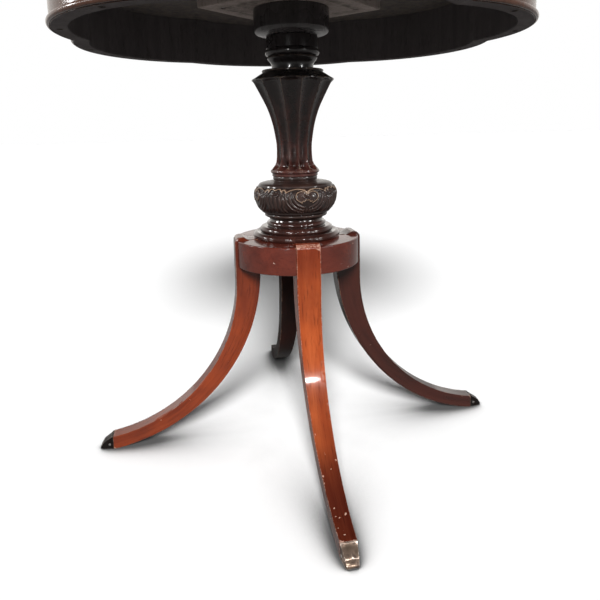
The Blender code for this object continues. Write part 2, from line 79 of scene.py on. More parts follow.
def applyModifier(piece, kind, **settings):
    clearPick()
    bpy.context.view_layer.objects.active = piece
    piece.select_set(True)
    modifier = piece.modifiers.new(kind.title(), kind)
    for key, value in settings.items():
        setattr(modifier, key, value)
    bpy.ops.object.modifier_apply(modifier=modifier.name)


def easeEdges(piece, width, segments=3, sharp=50.0):
    angle = math.radians(sharp)
    applyModifier(piece, "BEVEL", width=width, segments=segments, limit_method="ANGLE", angle_limit=angle)


def cutWith(piece, tool):
    applyModifier(piece, "BOOLEAN", operation="DIFFERENCE", solver="EXACT", object=tool)
    bpy.data.objects.remove(tool, do_unlink=True)


def drillHole(piece, radius, depth, steps, spot):
    clearPick()
    bpy.ops.mesh.primitive_cylinder_add(radius=radius, depth=depth, vertices=steps, location=spot)
    cutWith(piece, bpy.context.object)


def readPoints(piece):
    points = np.empty(len(piece.data.vertices) * 3)
    piece.data.vertices.foreach_get("co", points)
    return points.reshape(-1, 3)


def writePoints(piece, points):
    piece.data.vertices.foreach_set("co", np.ascontiguousarray(points).ravel())
    piece.data.update()


def storeValues(piece, name, values, kind="FLOAT"):
    layer = piece.data.attributes.get(name) or piece.data.attributes.new(name, kind, "POINT")
    field = "vector" if kind == "FLOAT_VECTOR" else "value"
    layer.data.foreach_set(field, np.ascontiguousarray(values).ravel())


def readValues(piece, name):
    values = np.zeros(len(piece.data.vertices))
    piece.data.attributes[name].data.foreach_get("value", values)
    return values


def feelEdges(piece, full=25.0, near=0.010):
    # ridge is 1 where the surface bends outwards, hollow is 1 where it bends inwards
    # both fade beside wide flat faces, which would carry them right across
    work = bmesh.new()
    work.from_mesh(piece.data)
    ridge = np.zeros(len(work.verts))
    hollow = np.zeros(len(work.verts))
    flat = np.full(len(work.verts), near)
    for edge in work.edges:
        if len(edge.link_faces) != 2:
            continue
        bend = math.degrees(edge.calc_face_angle_signed(0.0)) / full
        for corner in edge.verts:
            ridge[corner.index] = max(ridge[corner.index], min(1.0, bend))
            hollow[corner.index] = max(hollow[corner.index], min(1.0, -bend))
            if abs(bend) < 0.2:
                flat[corner.index] = max(flat[corner.index], edge.calc_length())
    work.free()
    storeValues(piece, "ridge", ridge * near / flat)
    storeValues(piece, "hollow", hollow * near / flat)


def arcPoints(centre, radius, start, end, count):
    turns = np.radians(np.linspace(start, end, count + 1))
    return [(centre[0] + radius * math.cos(a), centre[1] + radius * math.sin(a)) for a in turns]


def curveThrough(points, count):
    # an even curve through the points, with count steps between each two
    ends = [points[0], *points, points[-1]]
    curve = []
    for a, b, c, d in zip(ends, ends[1:], ends[2:], ends[3:]):
        a, b, c, d = Vector(a), Vector(b), Vector(c), Vector(d)
        for t in np.arange(count) / count:
            second = (2 * a - 5 * b + 4 * c - d) * t**2
            third = (3 * b - a - 3 * c + d) * t**3
            curve.append(tuple(0.5 * (2 * b + (c - a) * t + second + third)))
    return curve + [tuple(points[-1])]


def drawProfile(name, profile):
    # a closed upright line of radius and height, drawn point by point
    clearPick()
    bpy.ops.mesh.primitive_plane_add(size=0.002, location=(0, 0, 0))
    piece = openPiece(name)
    bpy.ops.mesh.merge(type="CENTER")
    bpy.ops.transform.translate(value=(profile[0][0], 0, profile[0][1]))
    for here, there in zip(profile, profile[1:] + profile[:1]):
        step = (there[0] - here[0], 0, there[1] - here[1])
        bpy.ops.mesh.extrude_vertices_move(TRANSFORM_OT_translate={"value": step})
    pickAll()
    bpy.ops.mesh.remove_doubles(threshold=0.00001)
    return piece


def turnPiece(name, profile, steps, shade=35.0):
    piece = drawProfile(name, profile)
    pickAll()
    bpy.ops.mesh.spin(steps=steps, angle=math.tau, center=(0, 0, 0), axis=(0, 0, 1))
    return closePiece(piece, shade)


def sliceBlock(name, slices):
    # a unit cube cut into an even lattice, so that it can be bent by moving its points
    clearPick()
    bpy.ops.mesh.primitive_cube_add(size=1.0, location=(0.5, 0.5, 0.5))
    piece = openPiece(name)
    for axis, count in enumerate(slices):
        normal = [float(axis == i) for i in range(3)]
        for k in range(1, count):
            spot = [n * k / count for n in normal]
            pickAll()
            bpy.ops.mesh.bisect(plane_co=spot, plane_no=normal)
    bpy.ops.object.mode_set(mode="OBJECT")
    bpy.ops.object.transform_apply()
    return piece


def smoothShade(piece, angle=35.0):
    clearPick()
    bpy.context.view_layer.objects.active = piece
    piece.select_set(True)
    bpy.ops.object.mode_set(mode="EDIT")
    closePiece(piece, angle)


def finishPiece(piece, slot, node, *finishes):
    for finish in finishes:
        piece.data.materials.append(finish)
    feelEdges(piece)
    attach(piece, "root")
    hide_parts(node)


# Node groups

def place(tree, kind, x, y, **settings):
    node = tree.nodes.new(kind)
    node.location = (x, y)
    for key, value in settings.items():
        setattr(node, key, value)
    return node


def feed(tree, socket, value):
    # links another node's output, or sets a plain number, vector or colour
    if hasattr(value, "links"):
        tree.links.new(value, socket)
    elif socket.type == "RGBA":
        socket.default_value = (*value, 1.0)
    else:
        socket.default_value = value


def combine(tree, operation, x, y, first, second):
    node = place(tree, "ShaderNodeMath", x, y, operation=operation)
    feed(tree, node.inputs[0], first)
    feed(tree, node.inputs[1], second)
    return node.outputs[0]


def ramp(tree, x, y, value, low, high, outLow=0.0, outHigh=1.0):
    node = place(tree, "ShaderNodeMapRange", x, y, interpolation_type="SMOOTHSTEP")
    limits = {"Value": value, "From Min": low, "From Max": high, "To Min": outLow, "To Max": outHigh}
    for name, number in limits.items():
        feed(tree, node.inputs[name], number)
    return node.outputs["Result"]


def mixColour(tree, x, y, share, first, second, blend="MIX"):
    node = place(tree, "ShaderNodeMix", x, y, data_type="RGBA", blend_type=blend)
    for index, value in ((0, share), (6, first), (7, second)):
        feed(tree, node.inputs[index], value)
    return node.outputs[2]


def noise(tree, x, y, spot, scale, detail=2.0, roughness=0.5):
    node = place(tree, "ShaderNodeTexNoise", x, y)
    for name, value in (("Vector", spot), ("Scale", scale), ("Detail", detail), ("Roughness", roughness)):
        feed(tree, node.inputs[name], value)
    return node


def splitParts(tree, kind, x, y, value):
    node = place(tree, f"ShaderNodeSeparate{kind}", x, y)
    tree.links.new(value, node.inputs[0])
    return node.outputs


def startGroup(name, **inputs):
    # a new group: an input is a vector where its first value has three numbers
    group = bpy.data.node_groups.new(name, "ShaderNodeTree")
    for label, value in inputs.items():
        kind = "Vector" if isinstance(value, tuple) else "Float"
        socket = group.interface.new_socket(name=label, in_out="INPUT", socket_type=f"NodeSocket{kind}")
        socket.default_value = value
    return group, place(group, "NodeGroupInput", -1100, 0).outputs


def endGroup(group, **results):
    for label in results:
        group.interface.new_socket(name=label, in_out="OUTPUT", socket_type="NodeSocketFloat")
    end = place(group, "NodeGroupOutput", 400, 0)
    for label, socket in results.items():
        group.links.new(socket, end.inputs[label])
    return group


def makeGrainGroup():
    # wood grain on a stretched vector: broad figure, fine pores and a height
    group, given = startGroup("woodGrain", Vector=(0.0, 0.0, 0.0), Stretch=(30.0, 30.0, 3.0), Swirl=0.6)
    scaled = place(group, "ShaderNodeVectorMath", -700, 0, operation="MULTIPLY")
    feed(group, scaled.inputs[0], given["Vector"])
    feed(group, scaled.inputs[1], given["Stretch"])
    broad = noise(group, -450, 200, scaled.outputs[0], 1.0, 6.0, 0.62)
    feed(group, broad.inputs["Distortion"], given["Swirl"])
    fine = noise(group, -450, -200, scaled.outputs[0], 9.0, 3.0)
    figure = ramp(group, -200, 200, broad.outputs["Fac"], 0.3, 0.7)
    pores = ramp(group, -200, -200, fine.outputs["Fac"], 0.56, 0.72)
    height = combine(group, "SUBTRACT", 0, 0, figure, pores)
    return endGroup(group, Figure=figure, Pores=pores, Height=height)


def makeWearGroup():
    # rubbed ridges that also serve as painted highlights, and painted shade in the hollows, both broken up by
    # noise
    group, given = startGroup(
        "handWear", Vector=(0.0, 0.0, 0.0), Ridge=0.0, Hollow=0.0, Rubbing=0.5, Patches=60.0
    )
    patches = noise(group, -700, -200, given["Vector"], given["Patches"], 5.0, 0.6).outputs["Fac"]
    # the pale rub on ridges is rubbed wear and also a painted highlight
    worn = combine(group, "ADD", -450, 200, patches, given["Rubbing"])
    crest = combine(group, "POWER", -450, 400, given["Ridge"], 2.5)
    bare = combine(group, "MULTIPLY", -250, 200, worn, crest)
    rub = ramp(group, -50, 200, bare, 0.62, 0.92)
    # painted shade: the hollows are darkened
    dirt = combine(group, "MULTIPLY", -250, -200, given["Hollow"], patches)
    grime = ramp(group, -50, -200, dirt, 0.1, 0.6)
    return endGroup(group, Rub=rub, Grime=grime)


def makeChipGroup():
    # small uneven chips: a random share of the cells of a pattern, kept to where a mask allows
    group, given = startGroup("finishChips", Vector=(0.0, 0.0, 0.0), Cells=120.0, Share=0.1, Where=1.0)
    wobble = noise(group, -900, 200, given["Vector"], 300.0)
    shift = place(group, "ShaderNodeVectorMath", -700, 200, operation="MULTIPLY_ADD")
    for socket, value in zip(shift.inputs, (wobble.outputs["Color"], (0.006, 0.006, 0.006), given["Vector"])):
        feed(group, socket, value)
    cells = place(group, "ShaderNodeTexVoronoi", -500, 0, feature="F1")
    feed(group, cells.inputs["Vector"], shift.outputs[0])
    feed(group, cells.inputs["Scale"], given["Cells"])
    random = splitParts(group, "Color", -300, -100, cells.outputs["Color"])
    allowed = combine(group, "MULTIPLY", -300, -300, given["Share"], given["Where"])
    chosen = combine(group, "LESS_THAN", -100, -100, random[0], allowed)
    spread = combine(group, "MULTIPLY", -400, 200, random[1], 0.2)
    size = combine(group, "ADD", -250, 200, spread, 0.1)
    near = combine(group, "LESS_THAN", -100, 100, cells.outputs["Distance"], size)
    return endGroup(group, Chips=combine(group, "MULTIPLY", 100, 0, chosen, near))


grainGroup = makeGrainGroup()
wearGroup = makeWearGroup()
chipGroup = makeChipGroup()


def useGroup(tree, group, x, y, **values):
    node = place(tree, "ShaderNodeGroup", x, y, node_tree=group)
    for name, value in values.items():
        feed(tree, node.inputs[name], value)
    return node.outputs


def readValue(tree, name, x, y, kind="Fac"):
    return place(tree, "ShaderNodeAttribute", x, y, attribute_name=name).outputs[kind]


def openMaterial(name):
    material = bpy.data.materials.new(name)
    material.use_nodes = True
    tree = material.node_tree
    return material, tree, tree.nodes["Principled BSDF"]


def addBump(tree, shader, height, strength, distance):
    bump = place(tree, "ShaderNodeBump", -300, -700)
    bump.inputs["Strength"].default_value = strength
    bump.inputs["Distance"].default_value = distance
    tree.links.new(height, bump.inputs["Height"])
    tree.links.new(bump.outputs["Normal"], shader.inputs["Normal"])


# Woods and metals

def makeWood(name, look):
    material, tree, shader = openMaterial(name)
    spot = place(tree, "ShaderNodeTexCoord", -1900, 0).outputs["Object"]
    along = readValue(tree, look["follows"], -1900, 300, "Vector") if "follows" in look else spot
    grain = useGroup(tree, grainGroup, -1500, 300, Vector=along, Stretch=look["stretch"], Swirl=look["swirl"])
    ridge = readValue(tree, "ridge", -1900, -300)
    hollow = readValue(tree, "hollow", -1900, -500)
    wear = useGroup(
        tree, wearGroup, -1500, -200,
        Vector=spot, Ridge=ridge, Hollow=hollow, Rubbing=look["rubbing"], Patches=look["patch"],
    )
    height = splitParts(tree, "XYZ", -1500, 600, spot)[2]
    blotch = noise(tree, -1500, -600, spot, look["blotchScale"], 4.0).outputs["Fac"]

    # grain and pores, then tints by height (painted light and shade on some parts), blotches, painted shade
    # in the hollows and rubbed edges that double as painted highlights over them
    colour = mixColour(tree, -1200, 300, grain["Figure"], look["dark"], look["light"])
    pores = combine(tree, "MULTIPLY", -1200, 100, grain["Pores"], look["poreDepth"])
    colour = mixColour(tree, -1000, 300, pores, colour, look["poreColour"])
    for low, high, tint in look.get("fades", ()):
        amount = ramp(tree, -1200, 600, height, low, high)
        colour = mixColour(tree, -900, 500, amount, colour, tint, "MULTIPLY")
    blotches = ramp(tree, -1200, -600, blotch, 0.35, 0.68, 0.0, look["blotch"])
    colour = mixColour(tree, -800, 300, blotches, colour, look["blotchColour"])
    # painted shade: the hollows are darkened towards near black
    grime = combine(tree, "MULTIPLY", -1000, -200, wear["Grime"], look["grime"])
    colour = mixColour(tree, -600, 300, grime, colour, look["grimeColour"])
    # rubbed wear on ridges and edges, which also paints highlights there
    rubbed = combine(tree, "MULTIPLY", -1000, -350, wear["Rub"], look["rub"])
    colour = mixColour(tree, -400, 300, rubbed, colour, look["rubColour"])
    rough = ramp(tree, -600, -300, blotch, 0.3, 0.7, look["gloss"], look["dull"])
    if "chips" in look:
        cells, share, where, bare = look["chips"]
        if isinstance(where, tuple):
            where = ramp(tree, -1300, -900, height, *where)
        marks = useGroup(tree, chipGroup, -1100, -900, Vector=spot, Cells=cells, Share=share, Where=where)
        chips = marks["Chips"]
        colour = mixColour(tree, -200, 300, chips, colour, bare)
        rough = combine(tree, "MAXIMUM", -300, -300, rough, combine(tree, "MULTIPLY", -400, -500, chips, 0.6))
    tree.links.new(colour, shader.inputs["Base Color"])
    tree.links.new(rough, shader.inputs["Roughness"])
    addBump(tree, shader, grain["Height"], look["bump"], 0.0006)
    shader.inputs["Coat Weight"].default_value = look["coat"]
    shader.inputs["Coat Roughness"].default_value = look["coatRough"]
    shader.inputs["Specular IOR Level"].default_value = look["shine"]
    return material


baseLook = {
    "stretch": (55.0, 55.0, 5.0),
    "swirl": 0.5,
    "dark": (0.075, 0.0115, 0.0042),
    "light": (0.155, 0.0260, 0.0080),
    "poreDepth": 0.45,
    "poreColour": (0.022, 0.006, 0.004),
    "blotchScale": 14.0,
    "blotch": 0.35,
    "blotchColour": (0.045, 0.009, 0.006),
    # the next two set painted shade in the hollows, the three after set rubbed wear and painted highlights on
    # ridges
    "grime": 0.8,
    "grimeColour": (0.007, 0.004, 0.0035),
    "rub": 0.8,
    "rubColour": (0.30, 0.18, 0.12),
    "rubbing": 0.28,
    "patch": 90.0,
    "gloss": 0.14,
    "dull": 0.24,
    "bump": 0.12,
    "shine": 0.18,
    "coat": 0.45,
    "coatRough": 0.06,
}


def changed(look, **values):
    return {**look, **values}


# the front leg is a lit copy of the leg wood: much lighter and redder than the other legs, as painted light
frontLegLook = changed(
    baseLook,
    follows="sweep",
    stretch=(5.0, 60.0, 60.0),
    dark=(0.205, 0.034, 0.0095),
    light=(0.330, 0.070, 0.020),
    coat=0.12,
    # by height: darker towards the toe below 0.1 m, darker at the top above 0.25 m as painted shade under the
    # platform, and lighter below 0.22 m as a painted pool of light
    fades=(
        (0.105, 0.030, (0.24, 0.20, 0.30)),
        (0.25, 0.335, (0.52, 0.46, 0.62)),
        (0.22, 0.14, (1.15, 1.25, 1.3)),
    ),
    patch=380.0,
    rubbing=0.30,
    rubColour=(0.42, 0.26, 0.20),
    shine=0.07,
    chips=(230.0, 0.2, (0.11, 0.03), (0.46, 0.29, 0.22)),
)
# the left leg is a lit copy of the leg wood, lighter than the right and back legs, as painted light
leftLegLook = changed(
    baseLook,
    dark=(0.110, 0.0165, 0.0050),
    light=(0.215, 0.0370, 0.0100),
    # painted shade: darker above 0.22 m, near the platform
    fades=((0.22, 0.30, (0.50, 0.50, 0.6)),),
    follows="sweep",
    stretch=(5.0, 60.0, 60.0),
    chips=(380.0, 0.006, 1.0, (0.42, 0.26, 0.19)),
)
# the right leg is a shaded copy of the leg wood: dark brown, as painted shade
rightLegLook = changed(
    baseLook,
    follows="sweep",
    stretch=(5.0, 60.0, 60.0),
    dark=(0.018, 0.0055, 0.004),
    light=(0.036, 0.010, 0.0068),
    chips=(380.0, 0.004, 1.0, (0.36, 0.24, 0.19)),
)
# the back leg is a shaded copy of the leg wood: nearly black, as painted shade
backLegLook = changed(
    rightLegLook,
    dark=(0.006, 0.0042, 0.004),
    light=(0.011, 0.007, 0.006),
    coat=0.0,
    shine=0.05,
    gloss=0.4,
    dull=0.6,
)
platformLook = changed(
    baseLook,
    shine=0.2,
    coat=0.4,
    stretch=(9.0, 50.0, 50.0),
    dark=(0.064, 0.0125, 0.0078),
    light=(0.105, 0.020, 0.0115),
    chips=(300.0, 0.008, 1.0, (0.50, 0.36, 0.30)),
)
columnLook = changed(
    baseLook,
    dark=(0.012, 0.0062, 0.0052),
    light=(0.026, 0.0120, 0.0092),
    poreColour=(0.006, 0.0035, 0.003),
    blotchColour=(0.009, 0.005, 0.0045),
    rubColour=(0.24, 0.16, 0.105),
    rub=0.25,
    gloss=0.20,
    dull=0.38,
)
carvedLook = changed(
    columnLook,
    dark=(0.020, 0.0108, 0.0088),
    light=(0.046, 0.0225, 0.0168),
    # the carving's crests take rubbed wear and painted highlights, and its recesses take painted shade
    rub=0.85,
    rubbing=0.66,
    rubColour=(0.24, 0.160, 0.108),
    patch=45.0,
    gloss=0.28,
    dull=0.5,
)
vaseLook = changed(
    columnLook,
    dark=(0.019, 0.0145, 0.0145),
    light=(0.031, 0.0235, 0.0225),
    # painted light: below 0.58 m the vase is tinted much lighter and redder, where light falls below the
    # top's shadow
    fades=((0.580, 0.485, (3.8, 1.5, 1.2)),),
    # the rub on the flutes' arrises is rubbed wear and painted highlight lines
    rub=0.85,
    rubbing=0.46,
    rubColour=(0.20, 0.145, 0.110),
)
baseMouldLook = changed(
    columnLook,
    dark=(0.024, 0.0085, 0.0065),
    light=(0.046, 0.015, 0.011),
    rub=0.2,
    gloss=0.08,
    dull=0.18,
    coat=0.8,
)
neckLook = changed(columnLook, dark=(0.018, 0.0155, 0.0158), light=(0.028, 0.0240, 0.0245), rub=0.2)
collarLook = changed(columnLook, dark=(0.030, 0.027, 0.0275), light=(0.046, 0.041, 0.042), rub=0.15)
topLook = changed(baseLook, stretch=(6.0, 70.0, 70.0), gloss=0.10, dull=0.22, bump=0.05)
veneerLook = changed(
    baseLook,
    stretch=(110.0, 110.0, 7.0),
    swirl=0.2,
    dark=(0.050, 0.022, 0.014),
    light=(0.072, 0.034, 0.022),
    blotch=0.12,
    gloss=0.12,
    dull=0.20,
    coat=0.12,
)
rawLook = changed(
    baseLook,
    dark=(0.050, 0.044, 0.045),
    light=(0.066, 0.058, 0.059),
    poreColour=(0.022, 0.018, 0.016),
    blotchColour=(0.074, 0.065, 0.064),
    blotch=0.12,
    rubColour=(0.10, 0.085, 0.07),
    gloss=0.75,
    dull=0.95,
    bump=0.4,
    coat=0.0,
)
plateLook = changed(
    rawLook,
    dark=(0.20, 0.168, 0.152),
    light=(0.28, 0.235, 0.215),
    blotchColour=(0.24, 0.20, 0.185),
)
beechLook = changed(
    rawLook,
    dark=(0.30, 0.19, 0.10),
    light=(0.48, 0.33, 0.19),
    poreColour=(0.22, 0.13, 0.07),
    blotchColour=(0.36, 0.25, 0.14),
)


def makeMetal(name, look):
    material, tree, shader = openMaterial(name)
    spot = place(tree, "ShaderNodeTexCoord", -1500, 0).outputs["Object"]
    cloud = noise(tree, -1200, 200, spot, look["cloudScale"], 6.0).outputs["Fac"]
    ridge = readValue(tree, "ridge", -1500, -200)
    hollow = readValue(tree, "hollow", -1500, -400)
    wear = useGroup(
        tree, wearGroup, -1200, -200,
        Vector=spot, Ridge=ridge, Hollow=hollow, Rubbing=look["rubbing"], Patches=200.0,
    )
    share = ramp(tree, -900, 200, cloud, 0.35, 0.65)
    colour = mixColour(tree, -700, 200, share, look["patina"], look["metal"])
    colour = mixColour(tree, -500, 200, wear["Rub"], colour, look["bright"])
    rough = ramp(tree, -500, -100, cloud, 0.3, 0.7, look["rough"], look["smooth"])
    metallic = ramp(tree, -500, -300, cloud, 0.3, 0.6, look["bareLow"], look["bareHigh"])
    tree.links.new(colour, shader.inputs["Base Color"])
    tree.links.new(rough, shader.inputs["Roughness"])
    tree.links.new(metallic, shader.inputs["Metallic"])
    addBump(tree, shader, cloud, 0.35, 0.0003)
    return material


steelLook = {
    "cloudScale": 180.0,
    "patina": (0.10, 0.085, 0.075),
    "metal": (0.36, 0.35, 0.34),
    "bright": (0.60, 0.59, 0.57),
    "rubbing": 0.3,
    "rough": 0.55,
    "smooth": 0.3,
    "bareLow": 0.7,
    "bareHigh": 1.0,
}
brassLook = {
    "cloudScale": 95.0,
    "patina": (0.060, 0.040, 0.032),
    "metal": (0.40, 0.29, 0.22),
    "bright": (0.62, 0.51, 0.43),
    "rubbing": 0.5,
    "rough": 0.55,
    "smooth": 0.28,
    "bareLow": 0.55,
    "bareHigh": 1.0,
}

veneer = makeWood("glossVeneer", veneerLook)
topWood = makeWood("polishedTop", topLook)
rawWood = makeWood("dustyRawWood", rawLook)
plateWood = makeWood("plateWood", plateLook)
platformWood = makeWood("platformWood", platformLook)
collarWood = makeWood("collarWood", collarLook)
neckWood = makeWood("neckWood", neckLook)
vaseWood = makeWood("vaseWood", vaseLook)
carvedWood = makeWood("carvedWood", carvedLook)
baseMouldWood = makeWood("baseMouldWood", baseMouldLook)
# each leg has its own copy of the wood, lighter or darker to stand for how light falls on it: painted light
# on the front and left legs, painted shade on the right and back legs
legWoods = {
    "front": makeWood("frontLegWood", frontLegLook),
    "left": makeWood("leftLegWood", leftLegLook),
    "right": makeWood("rightLegWood", rightLegLook),
    "back": makeWood("backLegWood", backLegLook),
}
beechWood = makeWood("beechDowel", beechLook)
steel = makeMetal("dullSteel", steelLook)
brass = makeMetal("agedBrass", brassLook)
blackLook = changed(brassLook, patina=(0.008, 0.007, 0.007), metal=(0.030, 0.022, 0.019), rubbing=0.25)
blackBrass = makeMetal("blackenedBrass", blackLook)
print("materials made")


# Top, apron and beads: six round lobes that meet at cusps

drum = {
    "lobes": 6,
    "lobeCentre": 0.1244,
    "lobeRadius": 0.2255,
    "turn": math.radians(-1.5),
    "beadProud": 0.004,
    "beadHeight": 0.009,
    "wall": 0.022,
    "overhang": 0.012,
    "gap": 0.0003,
    "mitre": 0.00002,
    "sweep": 53.0,
    "lobeSteps": 40,
    "screwAngle": math.radians(21.7),
    "screwHole": 0.0045,
    "screwDepth": 0.052,
}
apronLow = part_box("apron_segment_1")[0].z
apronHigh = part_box("apron_segment_1")[1].z
topLow, topHigh = (corner.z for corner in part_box("top_board"))


def lobeMiddle(index):
    return math.tau * (index + 0.5) / drum["lobes"] + drum["turn"]


def lobedRadius(bearings, radius):
    # distance from the axis to the lobed outline whose lobes have this radius
    sector = math.tau / drum["lobes"]
    off = (bearings - drum["turn"]) % sector - sector / 2
    across = drum["lobeCentre"] * np.sin(off)
    return drum["lobeCentre"] * np.cos(off) + np.sqrt(radius**2 - across**2)


def newCorner(corner):
    # the corner that the last extrusion made from this one
    others = (edge.other_vert(corner) for edge in corner.link_edges)
    return next(other.index for other in others if other.select)


def makeTopBoard():
    count = drum["lobes"] * drum["lobeSteps"]
    bearings = np.arange(count) / count * math.tau + drum["turn"]
    edge = drum["lobeRadius"] - drum["beadProud"] + drum["overhang"]
    thumb = arcPoints((-0.0052, topHigh - 0.0052), 0.0052, 88, 0, 6)
    lip = arcPoints((-0.0020, topLow + 0.0105), 0.0020, 0, -80, 3)
    cove = arcPoints((0.0003, topLow + 0.0040), 0.0052, 112, 196, 5)
    section = [*thumb, *lip, *cove, (-0.0062, topLow)]
    clearPick()
    bpy.ops.mesh.primitive_circle_add(vertices=count, radius=0.3, fill_type="NGON")
    board = openPiece("topBoard")
    work = bmesh.from_edit_mesh(board.data)
    work.verts.ensure_lookup_table()
    ring = list(range(count))
    for step, (out, height) in enumerate(section):
        if step:
            bpy.ops.mesh.extrude_region()
            work = bmesh.from_edit_mesh(board.data)
            work.verts.ensure_lookup_table()
            ring = [newCorner(work.verts[k]) for k in ring]
        reach = lobedRadius(bearings, edge + out)
        for k, bearing, far in zip(ring, bearings, reach):
            work.verts[k].co = (far * math.cos(bearing), far * math.sin(bearing), height)
        bmesh.update_edit_mesh(board.data)
    closePiece(board, 40)
    board.data.materials.append(topWood)
    board.data.materials.append(rawWood)
    for face in board.data.polygons:
        face.material_index = int(face.normal.z < -0.9)
    finishPiece(board, "gloss_mahogany", "top_board")
    return board


def makeLobeStrip(name, index, profile):
    # a closed profile swept round the lobe's own centre and mitred at both cusps
    middle = lobeMiddle(index)
    centre = Vector((drum["lobeCentre"], 0.0, 0.0))
    piece = drawProfile(name, profile)
    pickAll()
    reach = math.radians(drum["sweep"])
    bpy.ops.transform.translate(value=centre)
    turned = Matrix.Translation(centre) @ Matrix.Rotation(-reach, 4, "Z") @ Matrix.Translation(-centre)
    work = bmesh.from_edit_mesh(piece.data)
    for corner in work.verts:
        corner.co = turned @ corner.co
    bmesh.update_edit_mesh(piece.data)
    bpy.ops.mesh.spin(steps=drum["lobeSteps"], angle=-2 * reach, center=centre, axis=(0, 0, 1))
    pickAll()
    bpy.ops.mesh.fill_holes(sides=0)
    half = math.pi / drum["lobes"]
    for side in (-1, 1):
        across = Vector((-math.sin(side * half), math.cos(side * half), 0.0)) * side
        pickAll()
        start = across * -drum["mitre"]
        bpy.ops.mesh.bisect(plane_co=start, plane_no=across, use_fill=True, clear_outer=True)
    work = bmesh.from_edit_mesh(piece.data)
    bmesh.ops.rotate(work, verts=work.verts, cent=(0, 0, 0), matrix=Matrix.Rotation(middle, 3, "Z"))
    bmesh.update_edit_mesh(piece.data)
    return closePiece(piece, 40)


def makeApron():
    outer = drum["lobeRadius"] - drum["beadProud"]
    inner = outer - drum["wall"]
    ease = 0.0010
    profile = [(inner, apronHigh), (outer, apronHigh), (outer, apronLow + ease), (outer - ease, apronLow)]
    profile += [(inner + ease, apronLow), (inner, apronLow + ease)]
    for index in range(drum["lobes"]):
        lobe = makeLobeStrip(f"apronLobe{index + 1}", index, profile)
        middle = lobeMiddle(index)
        centre = Vector((math.cos(middle), math.sin(middle), 0.0)) * drum["lobeCentre"]
        for side in (-1, 1):
            bearing = middle + side * drum["screwAngle"]
            spot = centre + Vector((math.cos(bearing), math.sin(bearing), 0.0)) * (outer - drum["wall"] / 2)
            spot.z = apronLow - 0.005 + drum["screwDepth"] / 2
            drillHole(lobe, drum["screwHole"], drum["screwDepth"], 20, spot)
        smoothShade(lobe, 30)
        lobe.data.materials.append(veneer)
        lobe.data.materials.append(rawWood)
        for face in lobe.data.polygons:
            away = face.center - centre
            away.z = 0.0
            facing = face.normal.dot(away.normalized()) > 0.7 and away.length > outer - 0.002
            face.material_index = int(not facing)
        finishPiece(lobe, "gloss_mahogany", f"apron_segment_{index + 1}")


def makeBeads():
    crest = drum["lobeRadius"]
    back = crest - drum["beadProud"] + drum["gap"]
    half = drum["beadHeight"] / 2
    proud = drum["beadProud"] - drum["gap"]
    turns = np.radians(np.linspace(90, -90, 15))
    middle = apronLow + half
    profile = [(back + proud * math.cos(a) ** 0.8, middle + half * 0.86 * math.sin(a)) for a in turns]
    profile = [(back, apronLow + 2 * half), *profile, (back, apronLow)]
    for index in range(drum["lobes"]):
        bead = makeLobeStrip(f"apronBead{index + 1}", index, profile)
        finishPiece(bead, "gloss_mahogany", f"apron_bead_{index + 1}", veneer)


makeTopBoard()
makeApron()
makeBeads()
print("drum made")


# Mounting plate under the top

plate = {"side": 0.200, "screwReach": 0.102, "screwHole": 0.0045, "screwDepth": 0.009, "ease": 0.0015}
plateLow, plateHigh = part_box("mounting_plate")


def makePlate():
    clearPick()
    height = plateHigh.z - plateLow.z
    turn = math.pi / 4 + drum["turn"]
    bpy.ops.mesh.primitive_cube_add(size=1.0, location=(0, 0, plateLow.z + height / 2), rotation=(0, 0, turn))
    block = openPiece("mountingPlate")
    bpy.ops.object.mode_set(mode="OBJECT")
    block.scale = (plate["side"], plate["side"], height)
    bpy.ops.object.transform_apply()
    easeEdges(block, plate["ease"])
    for k in range(4):
        bearing = math.tau * k / 4 + drum["turn"]
        spot = (plate["screwReach"] * math.cos(bearing), plate["screwReach"] * math.sin(bearing), plateLow.z)
        drillHole(block, plate["screwHole"], plate["screwDepth"], 24, spot)
    smoothShade(block, 30)
    finishPiece(block, "raw_wood", "mounting_plate", plateWood)


makePlate()


# Column: collar, neck, fluted vase, carved bulb and base moulding

column = {"bore": 0.0058, "steps": 96}


def withBore(outside, low, high):
    return [*outside, (column["bore"], low), (column["bore"], high)]


def makeCollar():
    low, high = (corner.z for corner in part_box("collar_block"))
    outside = [(0.0572, high), (0.0580, high - 0.0008), (0.0580, 0.6512)]
    under = [(0.0578, 0.6500), (0.0566, 0.6468), (0.0535, 0.6443), (0.0470, 0.6427), (0.0415, low)]
    outside += curveThrough(under, 4)
    collar = turnPiece("collarBlock", withBore(outside, low, high), column["steps"])
    finishPiece(collar, "dark_mahogany", "collar_block", collarWood)


def makeNeck():
    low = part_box("neck_turning")[0].z
    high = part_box("collar_block")[0].z - 0.0003
    outside = [(0.0392, high), (0.0397, high - 0.0006), (0.0397, 0.6232), (0.0390, 0.6225)]
    outside += arcPoints((0.0362, 0.6174), 0.0059, 58, -74, 14)
    outside += [(0.0372, 0.6114), (0.0384, 0.6110), (0.0388, 0.6103), (0.0388, 0.6085), (0.0382, 0.6078)]
    flare = [(0.0378, 0.6070), (0.0362, 0.6050), (0.0340, 0.6022), (0.0327, 0.5990), (0.0322, low)]
    outside += curveThrough(flare, 5)
    neck = turnPiece("neckTurning", withBore(outside, low, high), column["steps"])
    finishPiece(neck, "dark_mahogany", "neck_turning", neckWood)


vase = {
    "flutes": 12,
    "turn": math.radians(3.0),
    "depth": 0.115,
    "high": 0.5764,
    "low": 0.4372,
    "archHigh": 0.004,
    "archLow": 0.007,
    "scoop": 0.20,
    "scoopHeight": 0.4430,
    "steps": 216,
}


